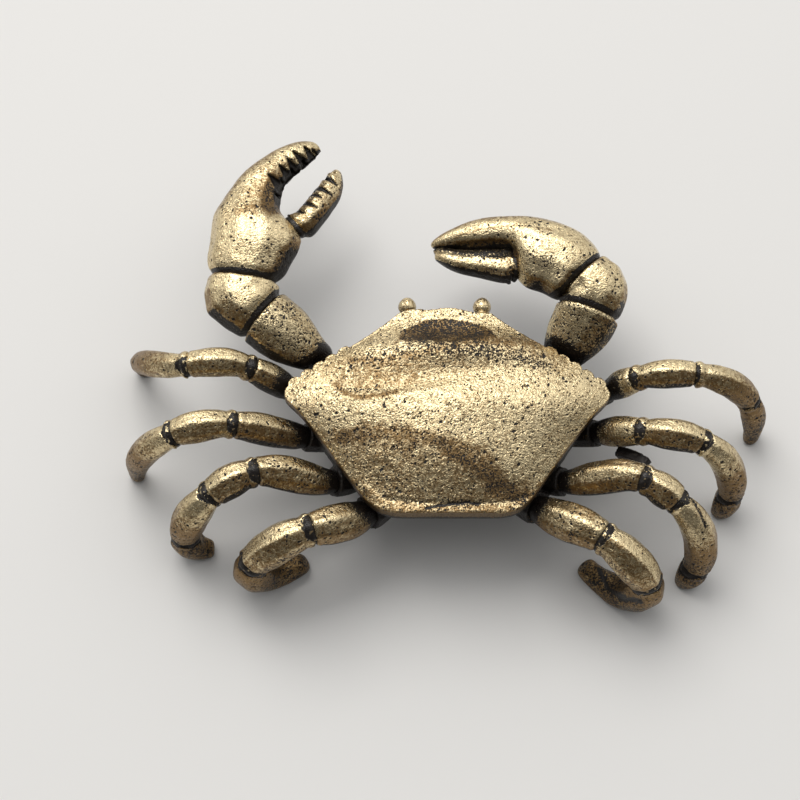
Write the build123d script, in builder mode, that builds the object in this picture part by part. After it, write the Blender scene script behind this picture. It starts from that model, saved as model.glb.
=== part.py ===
from build123d import *
import os

# Crab figurine in cast brass, standing on its eight toes.
# Millimetres. +Y is the way the crab faces, +X its right side, +Z up, the table at zero.
# Outlines and paths are shares of the sizes below, so each piece follows its own size.

# Shell
shell_width = 22.3
shell_length = 14.8
shell_lift = 1.25
shell_crown = 3.3
tooth_depth = 0.32
tooth_count = 5
scoop_width = 6.8
scoop_length = 2.5
scoop_depth = 0.34
scoop_tilt = 30

# Underside
thorax_depth = 3.1
boss_depth = 2.6
boss_fall_share = 0.35
flap_width = 5.4
flap_length = 7.0
flap_front = 2.6
flap_thickness = 0.5
flap_groove = 0.22
flap_groove_count = 5
mouth_plate_width = 1.7
mouth_plate_height = 2.1
mouth_plate_depth = 0.7
mouth_plate_gap = 0.2
mouth_plate_lift = 0.45
mouth_plate_taper = 20

# Eyes
eye_radius = 0.5
eye_stalk_radius = 0.3
eye_stalk_length = 0.65
eye_socket_depth = 0.45
eye_lift = 0.5
eye_sides = 8
socket_clearance = 0.03

# Legs, each with its own reach from hip to farthest point and its own girth
hip_height = 4.75
knee_height = 7.8
left_leg_1_reach = 11.1
left_leg_2_reach = 12.15
left_leg_3_reach = 10.4
left_leg_4_reach = 8.4
right_leg_1_reach = 10.85
right_leg_2_reach = 9.6
right_leg_3_reach = 9.45
right_leg_4_reach = 7.8
left_leg_1_girth = 1.9
left_leg_2_girth = 2.05
left_leg_3_girth = 2.2
left_leg_4_girth = 2.5
right_leg_1_girth = 1.85
right_leg_2_girth = 2.0
right_leg_3_girth = 2.15
right_leg_4_girth = 2.5

# Claws
claw_height = 7.0
claw_thickness = 4.0
left_arm_length = 5.0
left_wrist_length = 2.8
left_palm_length = 11.6
left_finger_length = 5.5
right_arm_length = 3.6
right_wrist_length = 2.7
right_palm_length = 11.0
right_finger_length = 5.6
finger_seat_width = 2.3
finger_seat_depth = 2.3
seat_margin_share = 1.15
seat_height_share = 0.93
bite_width = 0.55
bite_depth = 0.75
bite_count = 5

# Bridge of cast metal left between the second and the third right leg
bridge_width = 0.75
bridge_height = 0.6

# Seams between pieces
seam_gap = 0.34
neck_share = 0.8
overrun = 0.25

shell_base_height = hip_height + shell_lift
half_width = shell_width / 2
half_length = shell_length / 2
thorax_bottom = shell_base_height - thorax_depth
up = Vector(0, 0, 1)

pieces = []


def keep(part, name):
    """Label a finished piece and hold it for writing."""
    part.label = name
    pieces.append(part)


def on_shell(share, height=0):
    """Point over the shell's plan from a pair of shares."""
    return Vector(share[0] * half_width, share[1] * half_length, height)


# Shell outline
front_shares = [(-0.32, 0.90), (-0.20, 0.965), (-0.10, 0.96), (0, 0.98), (0.11, 0.955), (0.28, 0.92)]
left_brow_shares = [(-0.32, 0.90), (-0.47, 0.72), (-0.60, 0.585)]
right_brow_shares = [(0.28, 0.92), (0.43, 0.755), (0.61, 0.585)]
left_point_shares = [(-0.98, 0.23), (-1, 0.16), (-0.97, 0.07)]
right_point_shares = [(0.98, 0.22), (1, 0.15), (0.97, 0.06)]
left_flank_shares = [(-0.97, 0.07), (-0.78, -0.28), (-0.63, -0.60), (-0.50, -0.86)]
right_flank_shares = [(0.97, 0.06), (0.75, -0.35), (0.64, -0.58), (0.52, -0.84)]
left_rear_shares = [(-0.50, -0.86), (-0.41, -0.96), (-0.28, -1)]
right_rear_shares = [(0.52, -0.84), (0.44, -0.95), (0.32, -1)]

# Shell cross profiles from front to rear: place, half width, rim and crown
row_shares = [
    (1.04, 0.40, 0.30, 0.36),
    (0.90, 0.44, 0.30, 0.42),
    (0.74, 0.56, 0.30, 0.60),
    (0.55, 0.74, 0.30, 0.87),
    (0.28, 0.98, 0.30, 0.87),
    (0.10, 1.03, 0.30, 0.98),
    (-0.15, 0.92, 0.32, 1),
    (-0.50, 0.74, 0.34, 0.90),
    (-0.78, 0.62, 0.36, 0.70),
    (-0.92, 0.54, 0.44, 0.60),
    (-1.04, 0.50, 0.50, 0.62),
]
arch_shares = [(-1, 0), (-0.72, 0.52), (-0.36, 0.88), (0, 1), (0.36, 0.9), (0.72, 0.56), (1, 0)]

# Hollow in the front slope: its middle, and the crown there
scoop_share = (0, 0.75)
scoop_crown_share = 0.60

# Eyes sit in the front margin
eye_ball_shares = [(-0.85, 0.52), (0, 1), (0.85, 0.52), (1, 0.15)]
eye_seat_shares = {"left_eye": (-0.245, 0.94), "right_eye": (0.222, 0.94)}


def teeth(start, end):
    """Row of small rounded teeth from one shell point to the other, bulging outwards."""
    step = (end - start) / tooth_count
    outward = step.cross(up).normalized() * tooth_depth
    if outward.dot(start) < 0:
        outward = -outward
    for k in range(tooth_count):
        near = start + step * k
        ThreePointArc(near, near + step / 2 + outward, near + step)


def eye_socket_plane(share):
    """Bottom of an eye's socket, looking forwards."""
    middle = on_shell(share, shell_base_height + eye_lift) - Vector(0, eye_socket_depth, 0)
    return Plane(middle, x_dir=(-1, 0, 0), z_dir=(0, 1, 0))


scoop_middle = on_shell(scoop_share, shell_base_height + scoop_crown_share * shell_crown)
scoop_plane = Plane(scoop_middle, x_dir=(1, 0, 0), z_dir=(0, -1, 0)).rotated((-scoop_tilt, 0, 0))
scoop_radius = ((scoop_length / 2) ** 2 + scoop_depth**2) / (2 * scoop_depth)

with BuildPart() as shell:
    for place, half, rim, crown in row_shares:
        row = Plane((0, place * half_length, shell_base_height), x_dir=(1, 0, 0), z_dir=(0, -1, 0))
        reach = half * half_width
        with BuildSketch(row):
            with BuildLine():
                arch = Spline(
                    [(x * reach, shell_crown * (rim + (crown - rim) * rise)) for x, rise in arch_shares]
                )
                Polyline(arch @ 0, (-reach, -2 * overrun), (reach, -2 * overrun), arch @ 1)
            make_face()
    loft()
    with BuildSketch(Plane.XY.offset(shell_base_height)):
        with BuildLine():
            Spline([on_shell(s) for s in front_shares])
            Spline([on_shell(s) for s in right_brow_shares])
            teeth(on_shell(right_brow_shares[-1]), on_shell(right_point_shares[0]))
            Spline([on_shell(s) for s in right_point_shares])
            Spline([on_shell(s) for s in right_flank_shares])
            Spline([on_shell(s) for s in right_rear_shares])
            Line(on_shell(right_rear_shares[-1]), on_shell(left_rear_shares[-1]))
            Spline([on_shell(s) for s in left_rear_shares])
            Spline([on_shell(s) for s in left_flank_shares])
            Spline([on_shell(s) for s in left_point_shares])
            teeth(on_shell(left_point_shares[0]), on_shell(left_brow_shares[-1]))
            Spline([on_shell(s) for s in left_brow_shares])
        make_face()
    extrude(amount=shell_crown + overrun, mode=Mode.INTERSECT)
    with BuildSketch(scoop_plane):
        with BuildLine():
            ThreePointArc((-scoop_width / 2, 0), (0, -scoop_depth), (scoop_width / 2, 0))
            Polyline(
                (scoop_width / 2, 0),
                (scoop_width / 2, scoop_radius - scoop_depth),
                (-scoop_width / 2, scoop_radius - scoop_depth),
                (-scoop_width / 2, 0),
            )
        make_face()
    scoop_axis = Axis(scoop_plane.from_local_coords((0, scoop_radius - scoop_depth)), scoop_plane.x_dir)
    revolve(axis=scoop_axis, mode=Mode.SUBTRACT)
    for share in eye_seat_shares.values():
        with BuildSketch(eye_socket_plane(share)):
            RegularPolygon(eye_stalk_radius + socket_clearance, eye_sides)
        extrude(amount=eye_socket_depth + eye_radius, mode=Mode.SUBTRACT)
keep(shell.part, "shell")

for name, share in eye_seat_shares.items():
    socket = eye_socket_plane(share)
    stalk = eye_socket_depth + eye_stalk_length
    with BuildPart() as eye:
        with BuildSketch(socket):
            RegularPolygon(eye_stalk_radius, eye_sides)
        extrude(amount=stalk)
        for place, size in eye_ball_shares:
            with BuildSketch(socket.offset(stalk + place * eye_radius)):
                RegularPolygon(size * eye_radius, eye_sides)
        loft()
    keep(eye.part, name)


# Legs: side, hip over the shell's plan, reach, girth and the stops of the centreline.
# A stop is the name of the piece that ends there, or none for a bend inside a piece, then its
# shares: outwards and forwards of the reach, and height of the knee's height.
leg_shares = {
    "left_leg_1": dict(
        hip=(-0.94, 0.26),
        reach=left_leg_1_reach,
        girth=left_leg_1_girth,
        side=-1,
        stops=[
            ("thigh", 0.27, 0.09, 0.92), (None, 0.46, 0.12, 1.02), ("shin", 0.65, 0.10, 1.0),
            (None, 0.91, 0.17, 0.70), ("toe", 1.0, 0.25, -0.06),
        ],
    ),
    "left_leg_2": dict(
        hip=(-0.88, -0.18),
        reach=left_leg_2_reach,
        girth=left_leg_2_girth,
        side=-1,
        stops=[
            ("thigh", 0.39, 0.01, 1.0), (None, 0.56, 0.0, 1.05), ("shin", 0.72, -0.04, 1.0),
            (None, 0.91, -0.09, 0.66), ("toe", 1.0, -0.14, -0.06),
        ],
    ),
    "left_leg_3": dict(
        hip=(-0.70, -0.61),
        reach=left_leg_3_reach,
        girth=left_leg_3_girth,
        side=-1,
        stops=[
            ("thigh", 0.50, 0.0, 1.0), ("wrist", 0.78, -0.13, 0.95), (None, 0.94, -0.25, 0.7),
            ("shin", 1.0, -0.32, 0.40), (None, 0.97, -0.36, 0.16), ("toe", 0.83, -0.37, 0.05),
        ],
    ),
    "left_leg_4": dict(
        hip=(-0.49, -0.91),
        reach=left_leg_4_reach,
        girth=left_leg_4_girth,
        side=-1,
        stops=[
            ("thigh", 0.45, -0.19, 0.90), ("shin", 0.91, -0.40, 0.66), (None, 0.95, -0.45, 0.38),
            (None, 0.84, -0.43, 0.14), ("toe", 0.54, -0.32, 0.10),
        ],
    ),
    "right_leg_1": dict(
        hip=(1.0, 0.26),
        reach=right_leg_1_reach,
        girth=right_leg_1_girth,
        side=1,
        stops=[
            ("thigh", 0.17, 0.03, 0.90), ("wrist", 0.54, 0.04, 1.0), (None, 0.75, 0.01, 0.91),
            ("shin", 0.91, -0.05, 0.64), ("toe", 0.98, -0.22, -0.06),
        ],
    ),
    "right_leg_2": dict(
        hip=(0.93, -0.14),
        reach=right_leg_2_reach,
        girth=right_leg_2_girth,
        side=1,
        stops=[
            ("thigh", 0.29, -0.06, 0.97), ("wrist", 0.71, -0.14, 1.0), (None, 0.93, -0.25, 0.74),
            ("shin", 1.0, -0.39, 0.33), ("toe", 0.93, -0.48, -0.06),
        ],
    ),
    "right_leg_3": dict(
        hip=(0.72, -0.61),
        reach=right_leg_3_reach,
        girth=right_leg_3_girth,
        side=1,
        stops=[
            ("thigh", 0.55, -0.05, 1.0), ("wrist", 0.78, -0.20, 0.97), (None, 0.98, -0.39, 0.70),
            ("shin", 1.0, -0.57, 0.26), ("toe", 0.90, -0.65, -0.03),
        ],
    ),
    "right_leg_4": dict(
        hip=(0.56, -0.86),
        reach=right_leg_4_reach,
        girth=right_leg_4_girth,
        side=1,
        stops=[
            ("thigh", 0.54, -0.32, 0.90), ("shin", 0.93, -0.65, 0.66), (None, 0.94, -0.71, 0.38),
            (None, 0.84, -0.69, 0.15), ("toe", 0.45, -0.43, 0.10),
        ],
    ),
}

# Section of a leg, with a keel along its top, in shares of half its width and half its depth
leg_ring_shares = [
    (0, 1), (0.78, 0.6), (1, -0.15), (0.6, -0.92), (-0.6, -0.92), (-1, -0.15), (-0.78, 0.6),
]
# Swelling of a piece along its length: place and size
swell_shares = [(0, 0.84), (0.18, 1), (0.85, 1.04), (1, 0.9)]
toe_swell_shares = [(0, 0.84), (0.2, 1), (0.65, 0.84), (1, 0.5)]


def leg_ring(girth):
    """Section of a leg, drawn in the sketch at hand."""
    Polygon([(x * girth / 2, y * girth / 2) for x, y in leg_ring_shares], align=None)


def leg_plane(path, place, across):
    """Plane across a leg's centreline."""
    return Plane(path @ place, x_dir=across, z_dir=path % place)


leg_roots = []
leg_spans = {}
for leg, spec in leg_shares.items():
    girth = spec["girth"]
    hip = on_shell(spec["hip"], hip_height)
    inwards = Vector(hip.X, hip.Y).normalized() * boss_depth
    root = hip - inwards - up * boss_depth * boss_fall_share
    points = [root, hip]
    for _, out, fore, height in spec["stops"]:
        offset = Vector(spec["side"] * out, fore) * spec["reach"]
        points.append(Vector(hip.X + offset.X, hip.Y + offset.Y, height * knee_height))
    path = Spline(points, mode=Mode.PRIVATE)
    names = [stop[0] for stop in spec["stops"]]
    outward = points[names.index("shin") + 2] - hip
    across = up.cross(Vector(outward.X, outward.Y)).normalized()
    start = path.param_at_point(hip)
    leg_roots.append(([leg_plane(path, start * k / 2, across) for k in range(3)], girth))
    for name, point in zip(names, points[2:]):
        if name is None:
            continue
        end = 1 if name == "toe" else path.param_at_point(point)
        begin = start + seam_gap / path.length
        with BuildPart() as piece:
            with BuildSketch(leg_plane(path, start, across)):
                leg_ring(girth * neck_share)
            extrude(amount=seam_gap + overrun)
            for place, size in toe_swell_shares if name == "toe" else swell_shares:
                with BuildSketch(leg_plane(path, begin + place * (end - begin), across)):
                    leg_ring(girth * size)
            loft()
            if name == "toe":
                split(bisect_by=Plane.XY, keep=Keep.TOP)
        keep(piece.part, f"{leg}_{name}")
        leg_spans[f"{leg}_{name}"] = (path, start, end, girth)
        start = end


# Claws: each piece is a run of ribs. A rib gives its inner and outer edge in plan, as shares of
# the piece's length from the middle of the last seam, then its height and its thickness.
left_hip_rib_shares = ((0.14, 0.16), (-0.14, -0.16), 0.69, 0.48)
left_arm_shares = [
    ((-0.08, 0.37), (-0.36, -0.15), 0.80, 0.62),
    ((-0.29, 0.65), (-0.68, -0.08), 0.89, 0.80),
    ((-0.50, 0.82), (-0.97, 0.05), 0.95, 0.87),
    ((-0.59, 0.88), (-1.13, 0.20), 0.97, 0.82),
]
left_wrist_shares = [
    ((0.40, 0.72), (-0.92, -0.36), 1.0, 0.90),
    ((0.38, 0.75), (-1.42, 0.05), 1.0, 0.95),
    ((0.36, 0.78), (-1.52, 0.59), 1.0, 0.96),
    ((0.36, 0.80), (-1.39, 1.03), 1.0, 0.90),
]
left_palm_shares = [
    ((0.29, 0.11), (-0.22, 0.20), 1.0, 1.0),
    ((0.34, 0.22), (-0.21, 0.31), 1.0, 1.05),
    ((0.32, 0.31), (-0.20, 0.40), 1.0, 1.0),
    ((0.24, 0.40), (-0.16, 0.49), 0.99, 0.88),
    ((0.21, 0.49), (-0.09, 0.60), 0.97, 0.74),
    ((0.23, 0.60), (-0.01, 0.71), 0.95, 0.64),
    ((0.28, 0.68), (0.10, 0.81), 0.92, 0.56),
    ((0.36, 0.76), (0.22, 0.89), 0.89, 0.47),
    ((0.42, 0.82), (0.34, 0.93), 0.86, 0.36),
    ((0.46, 0.87), (0.42, 0.92), 0.84, 0.18),
]
left_finger_shares = [
    ((0.35, 0.04), (0.11, 0.35), 0.94, 0.58),
    ((0.50, 0.28), (0.25, 0.55), 0.91, 0.52),
    ((0.61, 0.53), (0.37, 0.72), 0.88, 0.42),
    ((0.61, 0.74), (0.47, 0.84), 0.86, 0.28),
    ((0.59, 0.81), (0.52, 0.86), 0.85, 0.16),
]
right_hip_rib_shares = ((-0.34, 0.22), (0.34, -0.22), 0.69, 0.48)
right_arm_shares = [
    ((-0.25, 0.46), (0.62, -0.03), 0.80, 0.66),
    ((-0.18, 0.74), (0.97, 0.25), 0.89, 0.82),
    ((-0.10, 0.93), (1.10, 0.46), 0.95, 0.88),
    ((-0.02, 1.06), (1.14, 0.61), 0.98, 0.84),
]
right_wrist_shares = [
    ((-0.57, 0.42), (1.02, 0.28), 1.0, 0.90),
    ((-0.55, 0.46), (1.05, 0.74), 1.0, 0.95),
    ((-0.56, 0.48), (0.88, 1.20), 1.0, 0.93),
    ((-0.60, 0.49), (0.47, 1.48), 1.0, 0.88),
]
right_palm_shares = [
    ((-0.23, -0.13), (0.03, 0.25), 1.0, 0.98),
    ((-0.33, -0.10), (-0.09, 0.33), 1.0, 1.0),
    ((-0.40, -0.06), (-0.24, 0.38), 1.0, 0.95),
    ((-0.44, 0.05), (-0.37, 0.40), 0.99, 0.85),
    ((-0.49, 0.17), (-0.49, 0.40), 0.97, 0.74),
    ((-0.60, 0.178), (-0.62, 0.40), 0.94, 0.68),
    ((-0.73, 0.19), (-0.76, 0.37), 0.91, 0.58),
    ((-0.85, 0.205), (-0.87, 0.32), 0.88, 0.45),
    ((-0.93, 0.21), (-0.94, 0.28), 0.86, 0.33),
    ((-0.97, 0.22), (-0.98, 0.245), 0.85, 0.16),
]
right_finger_shares = [
    ((-0.26, -0.17), (-0.24, 0.195), 0.91, 0.54),
    ((-0.51, -0.10), (-0.49, 0.20), 0.89, 0.48),
    ((-0.76, -0.01), (-0.74, 0.215), 0.87, 0.38),
    ((-0.92, 0.09), (-0.90, 0.235), 0.86, 0.26),
    ((-0.99, 0.15), (-0.98, 0.23), 0.85, 0.14),
]


def rib(anchor, length, side, shares):
    """Plane, width and thickness of a claw's rib, its plane looking along the claw."""
    inner, outer, height, depth = shares
    near = Vector(anchor.X + inner[0] * length, anchor.Y + inner[1] * length, height * claw_height)
    far = Vector(anchor.X + outer[0] * length, anchor.Y + outer[1] * length, height * claw_height)
    across = (near - far) * side
    plane = Plane((near + far) / 2, x_dir=across, z_dir=across.cross(up))
    return plane, across.length, depth * claw_thickness


# Section of a claw in shares of half its width and half its thickness
claw_ring_shares = [
    (1, -0.02), (0.8, 0.62), (0.3, 0.97), (-0.3, 0.97), (-0.8, 0.62),
    (-1, -0.02), (-0.72, -0.74), (0, -1), (0.72, -0.74),
]


def claw_ring(width, depth):
    """Section of a claw, drawn in the sketch at hand."""
    Polygon([(x * width / 2, y * depth / 2) for x, y in claw_ring_shares], align=None)


def claw_piece(seat, ribs, ruled=False):
    """Neck and body of a claw piece, from its seat on the last piece through its ribs."""
    plane, width, depth = seat
    with BuildPart() as piece:
        with BuildSketch(plane):
            claw_ring(width * neck_share, depth * neck_share)
        extrude(amount=seam_gap + overrun)
        with BuildSketch(plane.offset(seam_gap)):
            claw_ring(width, depth)
        for plane, width, depth in ribs:
            with BuildSketch(plane):
                claw_ring(width, depth)
        loft(ruled=ruled)
    return piece.part


def ribs_of(seat, side, length, shares):
    """Ribs of a piece that starts at a seat."""
    return [rib(seat[0].origin, length, side, s) for s in shares]


def bite_teeth(ribs, edge_side):
    """Cutters for the notches of a biting edge, through the upper half of a finger."""
    points = [plane.origin + plane.x_dir * (edge_side * width / 2) for plane, width, _ in ribs]
    run = Spline(points, mode=Mode.PRIVATE)
    with BuildPart() as cutters:
        for k in range(bite_count):
            place = (k + 0.5) / bite_count
            at = run @ place
            along = run % place
            with BuildSketch(Plane(at, x_dir=(along.X, along.Y, 0), z_dir=up)):
                inwards = -edge_side * bite_handed(along, ribs[0][0].x_dir)
                Polygon(
                    (-bite_width / 2, -inwards * overrun),
                    (bite_width / 2, -inwards * overrun),
                    (0, inwards * bite_depth),
                    align=None,
                )
            extrude(amount=claw_thickness)
    return cutters.part


def bite_handed(along, across):
    """Whether a rib's width runs to the left or to the right of the way along the claw."""
    return 1 if along.cross(across).Z > 0 else -1


claws = {
    "left_claw": dict(
        side=-1,
        hip=(-0.755, 0.55),
        hip_rib=left_hip_rib_shares,
        arm=(left_arm_length, left_arm_shares),
        wrist=(left_wrist_length, left_wrist_shares),
        palm=(left_palm_length, left_palm_shares),
        finger=(left_finger_length, left_finger_shares),
        seat=(0.30, 0.34),
        heading=(0.72, 0.69),
        palm_bite_rib_count=6,
        finger_bite_rib_count=5,
    ),
    "right_claw": dict(
        side=1,
        hip=(0.70, 0.55),
        hip_rib=right_hip_rib_shares,
        arm=(right_arm_length, right_arm_shares),
        wrist=(right_wrist_length, right_wrist_shares),
        palm=(right_palm_length, right_palm_shares),
        finger=(right_finger_length, right_finger_shares),
        seat=(-0.447, 0.065),
        heading=(-1.0, 0.06),
        palm_bite_rib_count=0,
        finger_bite_rib_count=0,
    ),
}

claw_hips = []
for claw, spec in claws.items():
    side = spec["side"]
    hip = rib(on_shell(spec["hip"]), spec["arm"][0], side, spec["hip_rib"])
    claw_hips.append(hip)

    arm_ribs = ribs_of(hip, side, *spec["arm"])
    keep(claw_piece(hip, arm_ribs), f"{claw}_arm")

    wrist_ribs = ribs_of(arm_ribs[-1], side, *spec["wrist"])
    keep(claw_piece(arm_ribs[-1], wrist_ribs, ruled=True), f"{claw}_wrist")

    palm_ribs = ribs_of(wrist_ribs[-1], side, *spec["palm"])
    palm_start = wrist_ribs[-1][0].origin
    seat_offset = Vector(*spec["seat"]) * spec["palm"][0]
    seat_at = Vector(
        palm_start.X + seat_offset.X, palm_start.Y + seat_offset.Y, seat_height_share * claw_height
    )
    heading = Vector(*spec["heading"]).normalized()
    seat_plane = Plane(seat_at, x_dir=up.cross(heading), z_dir=heading)
    with BuildPart() as palm:
        add(claw_piece(wrist_ribs[-1], palm_ribs))
        with BuildSketch(seat_plane):
            Rectangle(finger_seat_width * seat_margin_share, claw_thickness)
        extrude(amount=2 * seam_gap, mode=Mode.SUBTRACT)
        if spec["palm_bite_rib_count"]:
            biting_ribs = palm_ribs[-spec["palm_bite_rib_count"]:]
            add(bite_teeth(biting_ribs, side), mode=Mode.SUBTRACT)
    keep(palm.part, f"{claw}_palm")

    seat = (seat_plane, finger_seat_width, finger_seat_depth)
    finger_ribs = ribs_of(seat, side, *spec["finger"])
    with BuildPart() as finger:
        add(claw_piece(seat, finger_ribs))
        if spec["finger_bite_rib_count"]:
            biting_ribs = finger_ribs[-spec["finger_bite_rib_count"]:]
            add(bite_teeth(biting_ribs, -side), mode=Mode.SUBTRACT)
    keep(finger.part, f"{claw}_finger")


# Bridge between two legs: the piece beside each end, the place along it, the offset from its
# centreline in shares of its girth, and the rise of the middle in shares of the length
bridge_end_shares = [
    ("right_leg_2_thigh", 0.56, (0, -0.59, -0.61)),
    ("right_leg_3_wrist", 0.17, (0.02, 0.66, -0.50)),
]
bridge_rise_share = 0.06


def beside_leg(name, place, offset):
    """Point beside a piece of a leg."""
    path, start, end, girth = leg_spans[name]
    return path @ (start + place * (end - start)) + Vector(*offset) * girth


with BuildPart() as bridge:
    near, far = [beside_leg(*share) for share in bridge_end_shares]
    middle = (near + far) / 2 + Vector(0, (far - near).length * bridge_rise_share, 0)
    bridge_path = Spline([near, middle, far], mode=Mode.PRIVATE)
    bridge_across = up.cross(far - near)
    for place in (0, 1 / 4, 1 / 2, 3 / 4, 1):
        with BuildSketch(leg_plane(bridge_path, place, bridge_across)):
            Rectangle(bridge_width, bridge_height)
    loft(ruled=True)
keep(bridge.part, "leg_bridge")


# Thorax outline, and its levels: height of the depth and size of the outline
thorax_shares = [
    (0, 0.80), (0.45, 0.66), (0.87, 0.26), (0.87, 0.02), (0.73, -0.42), (0.50, -0.76), (0.25, -0.86),
]
thorax_level_shares = [(0, 0.66), (0.12, 0.80), (0.5, 0.99), (0.85, 0.97), (1, 0.93)]
front_face_share = 0.60

mouth_height = thorax_bottom + mouth_plate_lift + mouth_plate_height / 2
mouth_plane = Plane((0, front_face_share * half_length, mouth_height), x_dir=(-1, 0, 0), z_dir=(0, 1, 0))

with BuildPart() as thorax:
    outline = thorax_shares + [(-x, y) for x, y in reversed(thorax_shares[1:])]
    for level, size in thorax_level_shares:
        with BuildSketch(Plane.XY.offset(thorax_bottom + level * thorax_depth)):
            with BuildLine():
                Spline([on_shell((x * size, y * size)) for x, y in outline], periodic=True)
            make_face()
    loft(ruled=True)
    for planes, girth in leg_roots:
        for plane in planes:
            with BuildSketch(plane):
                leg_ring(girth)
        loft()
    for plane, width, depth in claw_hips:
        with BuildSketch(plane):
            claw_ring(width, depth)
        extrude(amount=-boss_depth)
    with BuildSketch(mouth_plane):
        Rectangle(shell_width, 2 * thorax_depth)
    extrude(amount=half_length, mode=Mode.SUBTRACT)
keep(thorax.part, "thorax")

# Belly flap, folded forwards under the thorax and grooved across between its rings
flap_half_shares = [(0, 0), (0.16, 0.05), (0.3, 0.45), (0.62, 0.72), (1, 0.9), (0.9, 1)]
with BuildPart() as flap:
    rim_shares = flap_half_shares + [(-x, y) for x, y in reversed(flap_half_shares[1:])]
    with BuildSketch(Plane.XY.offset(thorax_bottom)):
        Polygon(
            [(x * flap_width / 2, flap_front - y * flap_length) for x, y in rim_shares], align=None
        )
    extrude(amount=-flap_thickness)
    for k in range(flap_groove_count):
        across = flap_front - (k + 1.5) / (flap_groove_count + 1) * flap_length
        flap_face = Vector(0, across, thorax_bottom - flap_thickness)
        with BuildSketch(Plane(flap_face, x_dir=(0, 1, 0), z_dir=(1, 0, 0))):
            Polygon((-flap_groove, -overrun), (flap_groove, -overrun), (0, flap_groove), align=None)
        extrude(amount=flap_width, both=True, mode=Mode.SUBTRACT)
keep(flap.part, "belly_flap")

for side, name in ((-1, "left_mouth_plate"), (1, "right_mouth_plate")):
    with BuildPart() as plate:
        with BuildSketch(mouth_plane):
            with Locations((side * (mouth_plate_gap + mouth_plate_width) / 2, 0)):
                Rectangle(mouth_plate_width, mouth_plate_height)
        extrude(amount=mouth_plate_depth, taper=mouth_plate_taper)
    keep(plate.part, name)

whole = Compound(pieces).bounding_box()
shift = Location((-(whole.min.X + whole.max.X) / 2, -(whole.min.Y + whole.max.Y) / 2, 0))
print("size", whole.size, "lowest", whole.min.Z, "shift", shift.position)

os.makedirs("parts", exist_ok=True)
for piece in pieces:
    export_step(piece.moved(shift), f"parts/{piece.label}.step")
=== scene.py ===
import bpy
import bmesh
import math
import random
import numpy as np
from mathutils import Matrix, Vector
from mathutils.bvhtree import BVHTree
from mathutils.kdtree import KDTree


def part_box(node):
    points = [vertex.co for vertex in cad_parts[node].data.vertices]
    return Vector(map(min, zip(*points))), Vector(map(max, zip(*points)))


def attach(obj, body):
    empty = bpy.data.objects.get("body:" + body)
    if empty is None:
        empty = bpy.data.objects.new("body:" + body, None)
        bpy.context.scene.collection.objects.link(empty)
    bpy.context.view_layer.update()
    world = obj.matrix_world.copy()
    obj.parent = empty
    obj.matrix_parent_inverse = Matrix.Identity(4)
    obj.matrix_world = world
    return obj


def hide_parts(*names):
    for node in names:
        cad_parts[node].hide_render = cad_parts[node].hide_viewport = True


# Cast brass crab on a pale table. Sculpting is done in millimetres, the pieces end in metres.
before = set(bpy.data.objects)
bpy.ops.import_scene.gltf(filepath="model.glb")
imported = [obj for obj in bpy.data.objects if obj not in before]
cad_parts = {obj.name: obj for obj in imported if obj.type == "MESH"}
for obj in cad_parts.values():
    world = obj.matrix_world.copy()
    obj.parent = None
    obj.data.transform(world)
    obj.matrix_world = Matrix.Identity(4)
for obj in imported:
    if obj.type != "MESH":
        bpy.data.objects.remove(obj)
scene = bpy.context.scene
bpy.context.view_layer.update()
mm = 0.001
print("frame loaded,", len(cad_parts), "CAD nodes")


# helpers for sculpting the castings

def evenSolid(nodeName, voxel):
    # a merged copy of the CAD solid, in millimetres, with an even mesh
    bm = bmesh.new()
    bm.from_mesh(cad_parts[nodeName].data)
    bmesh.ops.remove_doubles(bm, verts=bm.verts, dist=1e-7)
    bmesh.ops.scale(bm, vec=(1 / mm,) * 3, verts=bm.verts)
    mesh = bpy.data.meshes.new(nodeName + "Blank")
    bm.to_mesh(mesh)
    bm.free()
    blank = bpy.data.objects.new(nodeName + "Blank", mesh)
    scene.collection.objects.link(blank)
    remesh = blank.modifiers.new("evenMesh", "REMESH")
    remesh.mode = "VOXEL"
    remesh.voxel_size = voxel
    view = bpy.context.evaluated_depsgraph_get()
    even = bpy.data.meshes.new_from_object(blank.evaluated_get(view))
    bpy.data.objects.remove(blank)
    return even


def readPoints(mesh):
    points = np.empty(len(mesh.vertices) * 3)
    mesh.vertices.foreach_get("co", points)
    return points.reshape(-1, 3)


def readEdges(mesh):
    ends = np.empty(len(mesh.edges) * 2, np.int64)
    mesh.edges.foreach_get("vertices", ends)
    return ends.reshape(-1, 2)


def outward(mesh, points):
    mesh.vertices.foreach_set("co", points.ravel())
    mesh.update()
    normals = np.empty(len(points) * 3, np.float32)
    mesh.vertex_normals.foreach_get("vector", normals)
    return normals.reshape(-1, 3).astype(float)


def average(values, edges):
    if values.ndim > 1:
        return np.stack([average(values[:, k], edges) for k in range(values.shape[1])], 1)
    count = len(values)
    a, b = edges[:, 0], edges[:, 1]
    links = np.bincount(a, minlength=count) + np.bincount(b, minlength=count)
    total = np.bincount(a, values[b], count) + np.bincount(b, values[a], count)
    return total / np.maximum(links, 1)


def blur(values, edges, rounds):
    for _ in range(rounds):
        values = (values + average(values, edges)) / 2
    return values


def soften(points, edges, rounds, pull=0.5, push=0.515):
    # each round pulls the surface in and pushes it out again, so edges go and the volume stays
    for _ in range(rounds):
        points = points + pull * (average(points, edges) - points)
        points = points - push * (average(points, edges) - points)
    return points


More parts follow.
